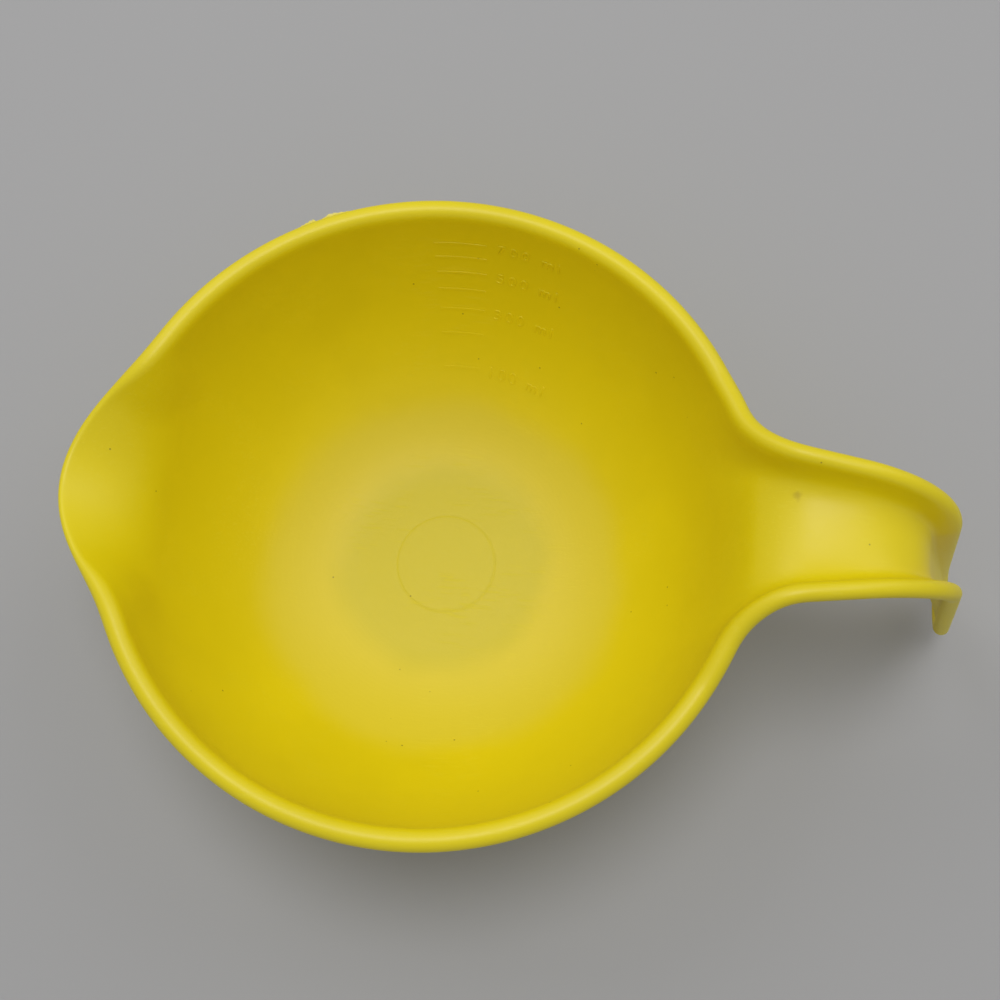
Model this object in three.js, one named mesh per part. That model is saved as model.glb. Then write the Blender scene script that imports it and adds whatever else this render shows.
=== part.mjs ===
// Mixing bowl with a pouring spout and a hooked channel handle, moulded in lemon-yellow plastic.
// Millimetres, +Z up. The origin is the centre of the standing face and +X runs along the handle.
// The real bowl is one moulding. It is divided here at its feature lines: floor, lower and upper wall,
// rim beads, spout, handle root, handle arm and grip. The regions meet face to face.

import * as THREE from 'three';
import { mergeVertices } from 'three/addons/utils/BufferGeometryUtils.js';

// Bowl
const RIM_RADIUS = 81; // outer radius of the rim bead
const DEPTH = 69; // from the flat floor inside to the middle of the rim bead
const FLOOR_RADIUS = 24; // flat part of the floor inside
const FLOOR = 2.4; // thickness of the floor
const WALL = 2; // thickness of the wall, spout and handle
const BASE_RADIUS = 34; // standing face
const BASE_CHAMFER = 0.6; // edge of the standing face
const DISH_RISE = 16; // height at which the dished floor becomes the wall
const FLARE_DEPTH = 26; // below the rim, where the wall starts to flow into spout and handle
const BEAD_RADIUS = 2.7; // rounded bead along the rim
const RIM_SAG = 1.6; // how much lower the rim lies halfway between spout and handle

// Pouring spout, opposite the handle
const SPOUT_HALF_ANGLE = THREE.MathUtils.degToRad(29); // half of the rim that the spout takes
const SPOUT_REACH = 11.45; // how far the lip stands out past the rim
const SPOUT_DIP = 7; // how far the lip lies below the rim
const SPOUT_FLARE = THREE.MathUtils.degToRad(58); // outward lean of the lip at its tip
const LIP_RADIUS = 1.2; // rounded edge of the bare lip, where the bead has faded out
const LIP_FADE = 2; // how many times sooner the bead fades than the lip reaches out

// Handle
const HANDLE_BEAD = 2.3; // rounded bead along the handle's edges
const TIP_BEAD = 2.1; // the same at the tip of the grip
const ROOT_HALF = 16.1; // half width between the edge beads where the arm starts
const ROOT_FILLET = 19.3; // plan radius that leads the rim into the handle
const RISE_LEAD = THREE.MathUtils.degToRad(8.5); // stretch of rim that already rises before that radius
const HANDLE_RISE = 11.6; // height of the arm's edges above the rim
const RISE_EASE = 0.75; // below 1 the rim rises sooner
const CORNER_SWING = THREE.MathUtils.degToRad(45); // turn of the wall where it meets the arm's edges
const SWING_POWER = 4; // how closely that turn keeps to the edges
const HANDLE_TAPER = THREE.MathUtils.degToRad(8.8); // narrowing of the arm to each side
const ARM_LENGTH = 12.5; // level stretch of the arm
const BEND_RADIUS = 28; // arch from the arm into the grip, along the edges
const BEND_ANGLE = THREE.MathUtils.degToRad(75.4); // turn of that arch
const GRIP_LENGTH = 51; // straight stretch of the grip
const TIP_LENGTH = 7; // stretch over which the tip is rounded
const TIP_SHARE = 0.55; // width of the tip's end, as a share of the grip
const CHANNEL_DEPTH = 8; // from the edge beads down to the channel floor where the arm starts
const BEND_DEPTH = 5; // the same where the bend runs into the grip
const SIDE_SHARE = 0.98; // straightness of the channel's sides, 1 for square corners
const FLOOR_SHARE = 0.95; // flatness of the channel's floor, 1 for square corners
const FLANGE_LEAN = THREE.MathUtils.degToRad(8); // outward lean of the channel's sides
const TIP_LEAN = THREE.MathUtils.degToRad(60); // the same at the tip, where the channel has flattened

// Facets
const MOUTH_CELLS = 12;
const FILLET_CELLS = 9;
const RIM_CELLS = 29;
const SPOUT_CELLS = 22;
const DISH_ROWS = 7;
const WALL_ROWS = 4;
const FLARE_ROWS = 8;
const BEAD_STEPS = 7;
const LEVEL_ROWS = 2;
const BEND_ROWS = 10;
const GRIP_ROWS = 7;
const TIP_ROWS = 4;
const ROOT_PASSES = 6; // evening out where wall and handle flow together
const PASS_SHARE = 0.5; // how far a point moves to the middle of its neighbours in one pass
const WELD = 1e-4; // points nearer than this are one point

const UP = new THREE.Vector3(0, 0, 1);
const ACROSS = new THREE.Vector3(0, 1, 0);

// Derived sizes of the bowl
const innerRimRadius = RIM_RADIUS - 2 * BEAD_RADIUS;
const beadRadiusInPlan = RIM_RADIUS - BEAD_RADIUS;
const beadHeight = FLOOR + DEPTH;
const wallSpan = innerRimRadius - FLOOR_RADIUS;
const dishAngle = Math.acos(1 - DISH_RISE / DEPTH);
const flareAngle = Math.acos(FLARE_DEPTH / DEPTH);

// Derived plan of the handle's root: a fillet between the rim circle and the tapering arm
const filletX = Math.sqrt(
	(beadRadiusInPlan + ROOT_FILLET) ** 2 - (ROOT_HALF + ROOT_FILLET * Math.cos(HANDLE_TAPER)) ** 2
);
const filletY = ROOT_HALF + ROOT_FILLET * Math.cos(HANDLE_TAPER);
const filletAngle = Math.atan2(filletY, filletX);
const handleAngle = filletAngle + RISE_LEAD;
const riseStart = beadRadiusInPlan * Math.cos(handleAngle);
const armStart = filletX - ROOT_FILLET * Math.sin(HANDLE_TAPER);
const armHeight = beadHeight + HANDLE_RISE;
const flareRadius = FLOOR_RADIUS + wallSpan * Math.sin(flareAngle);
const mouthAngle = Math.asin(ROOT_HALF / flareRadius);

const smooth = (t) => {
	const c = THREE.MathUtils.clamp(t, 0, 1);
	return c * c * (3 - 2 * c);
};

// Angles from one value to another, without the last one
function spread(from, to, cells) {
	return Array.from({ length: cells }, (_, i) => from + ((to - from) * i) / cells);
}

// The bowl's sections stand on these angles round its axis, from one handle mouth edge round to the other
const mouthAngles = spread(-mouthAngle, mouthAngle, MOUTH_CELLS);
const farFilletAngles = spread(mouthAngle, handleAngle, FILLET_CELLS);
const farRimAngles = spread(handleAngle, Math.PI - SPOUT_HALF_ANGLE, RIM_CELLS);
const spoutAngles = spread(Math.PI - SPOUT_HALF_ANGLE, Math.PI + SPOUT_HALF_ANGLE, SPOUT_CELLS);
const nearRimAngles = spread(Math.PI + SPOUT_HALF_ANGLE, 2 * Math.PI - handleAngle, RIM_CELLS);
const nearFilletAngles = spread(2 * Math.PI - handleAngle, 2 * Math.PI - mouthAngle, FILLET_CELLS);
const allAngles = [
	...mouthAngles,
	...farFilletAngles,
	...farRimAngles,
	...spoutAngles,
	...nearRimAngles,
	...nearFilletAngles
];

// Mesh helpers

function solidFromTriangles(triangles) {
	const geometry = new THREE.BufferGeometry();
	const corners = triangles.flat().flatMap((p) => [p.x, p.y, p.z]);
	geometry.setAttribute('position', new THREE.Float32BufferAttribute(corners, 3));
	return mergeVertices(geometry, WELD);
}

// Triangles between two rows of points, row p first
function strip(p, q) {
	const triangles = [];
	for (let k = 0; k + 1 < p.length; k++) {
		triangles.push([p[k], q[k], q[k + 1]], [p[k], q[k + 1], p[k + 1]]);
	}
	return triangles;
}

function fan(points) {
	return points.slice(1, -1).map((p, k) => [points[0], p, points[k + 2]]);
}

// Flat border of a wall between two of its sections
function border(innerP, outerP, innerQ, outerQ) {
	return [[innerP, innerQ, outerP], [innerQ, outerQ, outerP]];
}

// A profile of [radius, height] pairs, closed on itself or starting and ending on the axis, turned
// round the bowl's axis on the angles of the bowl's sections
function revolve(profile) {
	const onAxis = profile[0][0] === 0;
	const loop = onAxis ? profile : [...profile, profile[0]];
	const rings = allAngles.map((angle) => loop.map(([r, z]) => around(angle, r, z)));
	const triangles = rings.flatMap((ring, i) => strip(ring, rings[(i + 1) % rings.length]));
	return solidFromTriangles(triangles.filter(([a, b, c]) => !a.equals(b) && !b.equals(c) && !a.equals(c)));
}

// A wall from a grid of inner and outer points. Its border is closed flat, or rounded by a bead where
// the border's points carry one. Columns run round the bowl or across the handle, rows outwards.
function wallSolid(inner, outer, beads) {
	const columns = inner.length - 1;
	const rows = inner[0].length - 1;
	const triangles = [];
	for (let a = 0; a < columns; a++) {
		triangles.push(...strip(outer[a], outer[a + 1]));
		triangles.push(...strip(inner[a + 1], inner[a]));
	}
	const loop = [];
	for (let a = 0; a < columns; a++) loop.push([a, 0]);
	for (let b = 0; b < rows; b++) loop.push([columns, b]);
	for (let a = columns; a > 0; a--) loop.push([a, rows]);
	for (let b = rows; b > 0; b--) loop.push([0, b]);
	const beadAt = ([a, b]) => beads.get(a + ',' + b);
	const isRound = (i) => {
		const p = beadAt(loop[i % loop.length]);
		const q = beadAt(loop[(i + 1) % loop.length]);
		return Boolean(p && q && p.run === q.run);
	};
	loop.forEach((p, i) => {
		const q = loop[(i + 1) % loop.length];
		const before = isRound(i + loop.length - 1);
		if (isRound(i)) {
			triangles.push(...strip(beadAt(p).arc, beadAt(q).arc));
			if (!before) triangles.push(...fan(beadAt(p).arc));
		} else {
			triangles.push(...border(inner[p[0]][p[1]], outer[p[0]][p[1]], inner[q[0]][q[1]], outer[q[0]][q[1]]));
			if (before) triangles.push(...fan([...beadAt(p).arc].reverse()));
		}
	});
	return solidFromTriangles(triangles);
}

// A row of closed sections, each a list of points, skinned and capped
function loft(sections) {
	const closed = sections.map((section) => [...section, section[0]]);
	const triangles = closed.slice(1).flatMap((section, i) => strip(section, closed[i]));
	triangles.push(...fan([...sections[0]].reverse()), ...fan(sections[sections.length - 1]));
	return solidFromTriangles(triangles);
}

// The bowl's section: a quarter ellipse from the flat floor to the rim, and its offset outwards

function around(angle, radius, height) {
	return new THREE.Vector3(radius * Math.cos(angle), radius * Math.sin(angle), height);
}

function innerProfile(turn) {
	return [FLOOR_RADIUS + wallSpan * Math.sin(turn), FLOOR + DEPTH * (1 - Math.cos(turn))];
}

function profileNormal(turn) {
	const normal = new THREE.Vector2(DEPTH * Math.sin(turn), -wallSpan * Math.cos(turn));
	return normal.normalize();
}

function outerProfile(turn) {
	const [r, z] = innerProfile(turn);
	const normal = profileNormal(turn);
	return [r + WALL * normal.x, z + WALL * normal.y];
}

function turns(from, to, rows) {
	return Array.from({ length: rows + 1 }, (_, i) => from + ((to - from) * i) / rows);
}

// Where a wall ends in a bead. The frame's along points on past the wall, and out to its outer side.

function edgeFrame(travel, top, lean) {
	const side = new THREE.Vector3().crossVectors(travel, top).normalize();
	const crest = new THREE.Vector3().crossVectors(side, travel).normalize();
	const along = crest.clone().multiplyScalar(Math.cos(lean)).addScaledVector(side, Math.sin(lean));
	const out = side.clone().multiplyScalar(Math.cos(lean)).addScaledVector(crest, -Math.sin(lean));
	return { along, out };
}

// Angle below the bead's middle at which the wall's outer face runs into the bead
function beadFoot(radius) {
	return Math.acos(THREE.MathUtils.clamp((WALL - radius) / radius, -1, 1));
}

function edgeFromCentre(centre, frame, radius) {
	return centre
		.clone()
		.addScaledVector(frame.out, -radius)
		.addScaledVector(frame.along, -radius * Math.sin(beadFoot(radius)));
}

function beadArc(edge, frame, radius) {
	const foot = beadFoot(radius);
	const centre = edge
		.clone()
		.addScaledVector(frame.out, radius)
		.addScaledVector(frame.along, radius * Math.sin(foot));
	const arc = turns(Math.PI, -foot, BEAD_STEPS).map((angle) =>
		centre
			.clone()
			.addScaledVector(frame.out, radius * Math.cos(angle))
			.addScaledVector(frame.along, radius * Math.sin(angle))
	);
	arc[BEAD_STEPS] = edge.clone().addScaledVector(frame.out, WALL);
	return [edge, ...arc];
}

// Middle of the bead round the bowl: rim circle, spout bulge, and the rise and fillet into the handle

// Share of the spout at an angle: 1 at its middle, fading smoothly to nothing at its two ends
function spoutShare(angle) {
	const t = Math.abs(angle - Math.PI) / SPOUT_HALF_ANGLE;
	return t < 1 ? (1 - t ** 2) ** 3 : 0;
}

const filletPath = new THREE.Path();
filletPath.absarc(0, 0, beadRadiusInPlan, handleAngle, filletAngle, true);
filletPath.absarc(filletX, filletY, ROOT_FILLET, Math.PI + filletAngle, 1.5 * Math.PI - HANDLE_TAPER, false);

// Rise of the rim towards the handle, quick at first
function riseAt(x) {
	const t = THREE.MathUtils.clamp((x - riseStart) / (armStart - riseStart), 0, 1);
	return HANDLE_RISE * smooth(t ** RISE_EASE);
}

// Signed angle from the handle's axis
function fromHandle(angle) {
	return Math.atan2(Math.sin(angle), Math.cos(angle));
}

// Share of the way from the plain rim to the handle's arm
function rootShare(angle) {
	const share = (handleAngle - Math.abs(fromHandle(angle))) / (handleAngle - mouthAngle);
	return THREE.MathUtils.clamp(share, 0, 1);
}

function rimHeight(angle) {
	return beadHeight - RIM_SAG * Math.sin(angle) ** 2;
}

function beadCentre(angle) {
	const turn = fromHandle(angle);
	if (Math.abs(turn) < handleAngle) {
		const share = rootShare(angle);
		const p = filletPath.getPointAt(share);
		const rim = THREE.MathUtils.lerp(rimHeight(handleAngle), beadHeight, smooth(share));
		return new THREE.Vector3(p.x, Math.sign(turn) * p.y, rim + riseAt(p.x));
	}
	const share = spoutShare(angle);
	const edge = RIM_RADIUS + SPOUT_REACH * share;
	return around(angle, edge - beadRadius(angle), rimHeight(angle) - SPOUT_DIP * share);
}

function beadRadius(angle) {
	const rim = THREE.MathUtils.lerp(BEAD_RADIUS, HANDLE_BEAD, smooth(rootShare(angle)));
	return THREE.MathUtils.lerp(rim, LIP_RADIUS, smooth(LIP_FADE * spoutShare(angle)));
}

function edgeLean(angle) {
	return FLANGE_LEAN * smooth(rootShare(angle)) + SPOUT_FLARE * spoutShare(angle);
}

const PLAIN_RIM = 1e-9;

function isPlainRim(angle) {
	return Math.abs(fromHandle(angle)) > handleAngle - PLAIN_RIM && spoutShare(angle) < PLAIN_RIM;
}

function isMouth(angle) {
	return Math.abs(fromHandle(angle)) < mouthAngle - PLAIN_RIM;
}

const ANGLE_STEP = 1e-3;

function rimEdge(angle) {
	const centre = beadCentre(angle);
	const turn = fromHandle(angle);
	const inFillet = Math.abs(turn) < handleAngle - PLAIN_RIM;
	const lower = inFillet && turn > 0 ? Math.max(turn - ANGLE_STEP, mouthAngle) : turn - ANGLE_STEP;
	const upper = inFillet && turn < 0 ? Math.min(turn + ANGLE_STEP, -mouthAngle) : turn + ANGLE_STEP;
	const wrap = angle - turn;
	const travel = beadCentre(upper + wrap).sub(beadCentre(lower + wrap)).normalize();
	if (isPlainRim(angle)) travel.set(-Math.sin(angle), Math.cos(angle), 0);
	if (Math.abs(turn) < mouthAngle + PLAIN_RIM) travel.set(-Math.sign(turn), 0, 0);
	const frame = edgeFrame(travel, UP, edgeLean(angle));
	const radius = beadRadius(angle);
	const edge = edgeFromCentre(centre, frame, radius);
	return { edge, frame, travel, arc: beadArc(edge, frame, radius) };
}

// The handle's edges run level, arch over and run down the grip, drawn in the X Z plane

const bendCentre = new THREE.Vector2(armStart + ARM_LENGTH, armHeight - BEND_RADIUS);
const bendEnd = new THREE.Vector2(
	bendCentre.x + BEND_RADIUS * Math.sin(BEND_ANGLE),
	bendCentre.y + BEND_RADIUS * Math.cos(BEND_ANGLE)
);
const bendLength = BEND_RADIUS * BEND_ANGLE;
const armLength = ARM_LENGTH + bendLength;
const handleLength = armLength + GRIP_LENGTH;
const gripHalf = ROOT_HALF - Math.tan(HANDLE_TAPER) * armLength;

function handleFrame(s) {
	const turn = THREE.MathUtils.clamp((s - ARM_LENGTH) / BEND_RADIUS, 0, BEND_ANGLE);
	const forward = new THREE.Vector3(Math.cos(turn), 0, -Math.sin(turn));
	const top = new THREE.Vector3(Math.sin(turn), 0, Math.cos(turn));
	const point = new THREE.Vector3();
	if (s <= ARM_LENGTH) {
		point.set(armStart + s, 0, armHeight);
	} else if (s <= armLength) {
		point.set(bendCentre.x, 0, bendCentre.y).addScaledVector(top, BEND_RADIUS);
	} else {
		point.set(bendEnd.x, 0, bendEnd.y).addScaledVector(forward, s - armLength);
	}
	return { point, forward, top };
}

// Share of the way down the grip
function gripShare(s) {
	return THREE.MathUtils.clamp((s - armLength) / GRIP_LENGTH, 0, 1);
}

function handleLean(s) {
	return THREE.MathUtils.lerp(FLANGE_LEAN, TIP_LEAN, smooth(gripShare(s)));
}

// The tip's outline narrows along an ellipse
const tipLoss = 1 - TIP_SHARE ** 2;

function tipShare(s) {
	return THREE.MathUtils.clamp((s - handleLength + TIP_LENGTH) / TIP_LENGTH, 0, 1);
}

function handleHalf(s) {
	const half = ROOT_HALF - Math.tan(HANDLE_TAPER) * Math.min(s, armLength);
	return half * Math.sqrt(1 - tipLoss * tipShare(s) ** 2);
}

function tipNarrowing(s) {
	const t = tipShare(s);
	return (gripHalf * tipLoss * t) / (TIP_LENGTH * Math.sqrt(1 - tipLoss * t * t));
}

function handleBead(s) {
	return THREE.MathUtils.lerp(HANDLE_BEAD, TIP_BEAD, smooth(gripShare(s)));
}

// The wall's edge beside the bead, in the section's own plane: x across, y towards the top
function sectionEdge(s) {
	const lean = handleLean(s);
	const radius = handleBead(s);
	const foot = radius * Math.sin(beadFoot(radius));
	const x = handleHalf(s) - radius * Math.cos(lean) - foot * Math.sin(lean);
	const y = radius * Math.sin(lean) - foot * Math.cos(lean);
	return new THREE.Vector2(x, y);
}

// Channel section from one edge to the other: leaning sides that round into a flat floor
function channelCurve(s) {
	const edge = sectionEdge(s);
	const lean = handleLean(s);
	const armFloor = THREE.MathUtils.lerp(-CHANNEL_DEPTH, -BEND_DEPTH, smooth(s / armLength));
	const floor = THREE.MathUtils.lerp(armFloor, sectionEdge(handleLength).y, gripShare(s));
	const drop = SIDE_SHARE * (edge.y - floor);
	const side = new THREE.Vector2(edge.x - drop * Math.sin(lean), edge.y - drop * Math.cos(lean));
	const bottom = new THREE.Vector2(FLOOR_SHARE * edge.x, floor);
	return new THREE.CubicBezierCurve(edge, side, bottom, new THREE.Vector2(0, floor));
}

// Point of the channel in the section's plane for a share from -1 to 1 across the handle, with the
// direction to the nearer edge and the outward normal
function channelPoint(s, share) {
	const curve = channelCurve(s);
	const t = 1 - Math.abs(share);
	const p = curve.getPoint(t);
	const tangent = curve.getTangent(t);
	const sign = share < 0 ? -1 : 1;
	return {
		inner: new THREE.Vector2(sign * p.x, p.y),
		toEdge: new THREE.Vector2(sign * -tangent.x, -tangent.y),
		normal: new THREE.Vector2(sign * -tangent.y, tangent.x)
	};
}

function inSection(s, p) {
	const { point, top } = handleFrame(s);
	return point.clone().addScaledVector(ACROSS, p.x).addScaledVector(top, p.y);
}

function handleInner(s, share) {
	return inSection(s, channelPoint(s, share).inner);
}

function handleOuter(s, share) {
	const { inner, normal } = channelPoint(s, share);
	return inSection(s, inner.addScaledVector(normal, WALL));
}

// The upper wall: each section leaves the bowl's profile and runs into the rim, the spout or the handle

const PATH_STEP = 0.05;

function upperEnd(angle) {
	const turn = fromHandle(angle);
	if (!isMouth(angle)) {
		const { edge, frame, travel } = rimEdge(angle);
		const swing = CORNER_SWING * smooth(rootShare(angle));
		const heading = frame.along.clone().multiplyScalar(Math.cos(swing));
		heading.addScaledVector(travel, -Math.sign(turn) * Math.sin(swing));
		return { point: edge, heading };
	}
	const share = turn / mouthAngle;
	const point = handleInner(0, share);
	const { toEdge } = channelPoint(0, share);
	const swing = CORNER_SWING * share ** SWING_POWER;
	const heading = handleInner(PATH_STEP, share).sub(point).normalize().multiplyScalar(Math.cos(swing));
	heading.addScaledVector(ACROSS, Math.sin(swing) * toEdge.x);
	heading.addScaledVector(UP, Math.sin(swing) * toEdge.y);
	return { point, heading };
}

function upperCurve(angle) {
	const [r, z] = innerProfile(flareAngle);
	const start = around(angle, r, z);
	const normal = profileNormal(flareAngle);
	const climb = around(angle, -normal.y, normal.x);
	const { point, heading } = upperEnd(angle);
	const reach = start.distanceTo(point) / 3;
	return new THREE.CubicBezierCurve3(
		start,
		start.clone().addScaledVector(climb, reach),
		point.clone().addScaledVector(heading, -reach),
		point
	);
}

// Evens out the points of a grid between its borders
function relax(grid, passes) {
	for (let pass = 0; pass < passes; pass++) {
		const before = grid.map((column) => column.map((p) => p.clone()));
		for (let a = 1; a + 1 < grid.length; a++) {
			for (let b = 1; b + 1 < grid[a].length; b++) {
				const neighbours = [before[a - 1][b], before[a + 1][b], before[a][b - 1], before[a][b + 1]];
				const middle = new THREE.Vector3();
				neighbours.forEach((p) => middle.addScaledVector(p, 1 / neighbours.length));
				grid[a][b].lerp(middle, PASS_SHARE);
			}
		}
	}
}

function upperWall(angles, { beaded, passes }) {
	const inner = angles.map((angle) => upperCurve(angle).getPoints(FLARE_ROWS));
	relax(inner, passes);
	const beads = new Map();
	const outer = angles.map((angle, a) => {
		const column = inner[a].map((p, b) => {
			const sideways = new THREE.Vector3(-Math.sin(angle), Math.cos(angle), 0);
			if (!isPlainRim(angle)) sideways.subVectors(inner[a + 1][b], inner[a - 1][b]);
			const upwards = inner[a][Math.min(b + 1, FLARE_ROWS)].clone().sub(inner[a][Math.max(b - 1, 0)]);
			return p.clone().addScaledVector(sideways.cross(upwards).normalize(), WALL);
		});
		const turn = fromHandle(angle);
		column[0] = around(angle, ...outerProfile(flareAngle));
		if (isMouth(angle)) {
			column[FLARE_ROWS] = handleOuter(0, turn / mouthAngle);
		} else {
			const { arc } = rimEdge(angle);
			const run = Math.abs(turn) > handleAngle + PLAIN_RIM ? 0 : Math.sign(turn);
			column[FLARE_ROWS] = arc.at(-1);
			if (beaded) beads.set(a + ',' + FLARE_ROWS, { arc, run });
		}
		return column;
	});
	return wallSolid(inner, outer, beads);
}

// Handle stretch between two stations along its edges

function handleStretch(stations, endsInTip) {
	const shares = turns(-1, 1, MOUTH_CELLS);
	const inner = shares.map((share) => stations.map((s) => handleInner(s, share)));
	const outer = shares.map((share) => stations.map((s) => handleOuter(s, share)));
	const beads = new Map();
	const last = stations.length - 1;
	stations.forEach((s, b) => {
		const { forward, top } = handleFrame(s);
		[0, MOUTH_CELLS].forEach((a) => {
			const sign = a === 0 ? -1 : 1;
			const travel = forward.clone().multiplyScalar(-sign).addScaledVector(ACROSS, tipNarrowing(s));
			if (endsInTip && b === last) travel.normalize().add(ACROSS);
			const frame = edgeFrame(travel, top, handleLean(s));
			outer[a][b] = inner[a][b].clone().addScaledVector(frame.out, WALL);
			const arc = beadArc(inner[a][b], frame, handleBead(s));
			beads.set(a + ',' + b, { arc, run: endsInTip ? 0 : sign });
		});
	});
	if (endsInTip) {
		const s = stations[last];
		const frame = edgeFrame(ACROSS, handleFrame(s).top, handleLean(s));
		for (let a = 1; a < MOUTH_CELLS; a++) {
			outer[a][last] = inner[a][last].clone().addScaledVector(frame.out, WALL);
			beads.set(a + ',' + last, { arc: beadArc(inner[a][last], frame, TIP_BEAD), run: 0 });
		}
	}
	return wallSolid(inner, outer, beads);
}

// Regions of the moulding

function bowlFloor() {
	const dish = turns(0, dishAngle, DISH_ROWS);
	const underside = dish.map(outerProfile).filter(([r]) => r > BASE_RADIUS);
	return revolve([
		[0, 0],
		[BASE_RADIUS - BASE_CHAMFER, 0],
		[BASE_RADIUS, BASE_CHAMFER],
		...underside,
		...dish.map(innerProfile).reverse(),
		[0, FLOOR]
	]);
}

function lowerWall() {
	const rows = turns(dishAngle, flareAngle, WALL_ROWS);
	return revolve([...rows.map(outerProfile), ...rows.map(innerProfile).reverse()]);
}

function rimBead(angles) {
	return loft(angles.map((angle) => rimEdge(angle).arc));
}

function handleRoot() {
	const near = nearFilletAngles.map((angle) => angle - 2 * Math.PI);
	const angles = [...near, ...mouthAngles, ...farFilletAngles, handleAngle];
	return upperWall(angles, { beaded: true, passes: ROOT_PASSES });
}

function handleArm() {
	const level = turns(0, ARM_LENGTH, LEVEL_ROWS).slice(0, -1);
	return handleStretch([...level, ...turns(ARM_LENGTH, armLength, BEND_ROWS)], false);
}

function handleGrip() {
	const tipStart = handleLength - TIP_LENGTH;
	const straight = turns(armLength, tipStart, GRIP_ROWS).slice(0, -1);
	return handleStretch([...straight, ...turns(tipStart, handleLength, TIP_ROWS)], true);
}

const plastic = { color: 0xdcc313, roughness: 0.45, metalness: 0 };

const farRim = [...farRimAngles, Math.PI - SPOUT_HALF_ANGLE];
const nearRim = [...nearRimAngles, 2 * Math.PI - handleAngle];
const spout = [...spoutAngles, Math.PI + SPOUT_HALF_ANGLE];

const regions = {
	bowl_floor: bowlFloor(),
	lower_wall: lowerWall(),
	upper_wall_far: upperWall(farRim, { beaded: false, passes: 0 }),
	upper_wall_near: upperWall(nearRim, { beaded: false, passes: 0 }),
	rim_bead_far: rimBead(farRim),
	rim_bead_near: rimBead(nearRim),
	pouring_spout: upperWall(spout, { beaded: true, passes: 0 }),
	handle_root: handleRoot(),
	handle_arm: handleArm(),
	handle_grip: handleGrip()
};

const bowl = new THREE.Group();
for (const [name, geometry] of Object.entries(regions)) {
	const mesh = new THREE.Mesh(geometry, new THREE.MeshStandardMaterial(plastic));
	mesh.name = name;
	bowl.add(mesh);
}

export default bowl;
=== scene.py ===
# %% [markdown]
# # A mixing bowl with a spout and a hooked handle
#
# The bowl is a single moulding in lemon-yellow plastic. Floor, wall, rim, spout and handle are one skin
# about 2 mm thick, and a rounded bead runs along its whole open edge. This lesson models that skin as one
# piece, so that no seam shows where the handle flows out of the wall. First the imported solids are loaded:
# they fix the size and the place of everything that follows, and the new skin then stands for them.

# %% Load the solids
import math
from bisect import bisect_left

import bmesh
import bpy
from mathutils import Matrix, Vector


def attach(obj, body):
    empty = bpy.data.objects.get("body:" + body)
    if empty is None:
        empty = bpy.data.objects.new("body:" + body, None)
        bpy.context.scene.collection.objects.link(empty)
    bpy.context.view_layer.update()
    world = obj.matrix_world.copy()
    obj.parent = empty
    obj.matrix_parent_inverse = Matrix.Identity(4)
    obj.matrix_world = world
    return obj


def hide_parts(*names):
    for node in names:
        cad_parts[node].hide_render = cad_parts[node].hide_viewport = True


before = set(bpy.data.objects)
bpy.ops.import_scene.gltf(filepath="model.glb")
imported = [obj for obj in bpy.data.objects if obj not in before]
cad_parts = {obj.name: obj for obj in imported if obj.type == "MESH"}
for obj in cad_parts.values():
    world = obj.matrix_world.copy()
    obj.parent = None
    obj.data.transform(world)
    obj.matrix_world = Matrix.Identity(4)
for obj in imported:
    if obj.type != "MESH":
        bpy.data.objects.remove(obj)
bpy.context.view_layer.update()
print("solids:", sorted(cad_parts))

# %% [markdown]
# ## Sizes
#
# Lengths are metres, written in millimetres times MM. They repeat the sizes that drive the solids, so the
# skin lands on them. Only FLARE_POWER and LIP_STRETCH are the skin's own: they open the wall below the
# spout's shoulders a little wider. The bowl's section is a quarter of an ellipse that leaves a flat floor.

# %% Sizes of the moulding
MM = 0.001
RIM_RADIUS = 81 * MM
DEPTH = 69 * MM
FLOOR_RADIUS = 24 * MM
FLOOR = 2.4 * MM
WALL = 2 * MM
BASE_RADIUS = 34 * MM
BASE_CHAMFER = 0.6 * MM
FLARE_DEPTH = 26 * MM
BEAD_RADIUS = 2.7 * MM
RIM_SAG = 1.6 * MM

SPOUT_HALF_ANGLE = math.radians(29)
SPOUT_REACH = 11.45 * MM
SPOUT_DIP = 7 * MM
SPOUT_FLARE = math.radians(58)
REACH_POWER = 3
FLARE_POWER = 1.5
LIP_RADIUS = 1.2 * MM
LIP_FADE = 2
LIP_STRETCH = 0.3

HANDLE_BEAD = 2.3 * MM
TIP_BEAD = 2.1 * MM
ROOT_HALF = 16.1 * MM
ROOT_FILLET = 19.3 * MM
HANDLE_RISE = 11.6 * MM
RISE_EASE = 0.75
CORNER_SWING = math.radians(45)
SWING_POWER = 4
HANDLE_TAPER = math.radians(8.8)
ARM_LENGTH = 12.5 * MM
BEND_RADIUS = 28 * MM
BEND_ANGLE = math.radians(75.4)
GRIP_LENGTH = 51 * MM
TIP_LENGTH = 7 * MM
TIP_SHARE = 0.55
CHANNEL_DEPTH = 8 * MM
BEND_DEPTH = 5 * MM
SIDE_SHARE = 0.98
FLOOR_SHARE = 0.95
FLANGE_LEAN = math.radians(8)
TIP_LEAN = math.radians(60)

inner_rim = RIM_RADIUS - 2 * BEAD_RADIUS
bead_circle = RIM_RADIUS - BEAD_RADIUS
bead_height = FLOOR + DEPTH
wall_span = inner_rim - FLOOR_RADIUS
flare_turn = math.acos(FLARE_DEPTH / DEPTH)
print("bowl", round(2 * RIM_RADIUS / MM), "mm across the rim")

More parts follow.
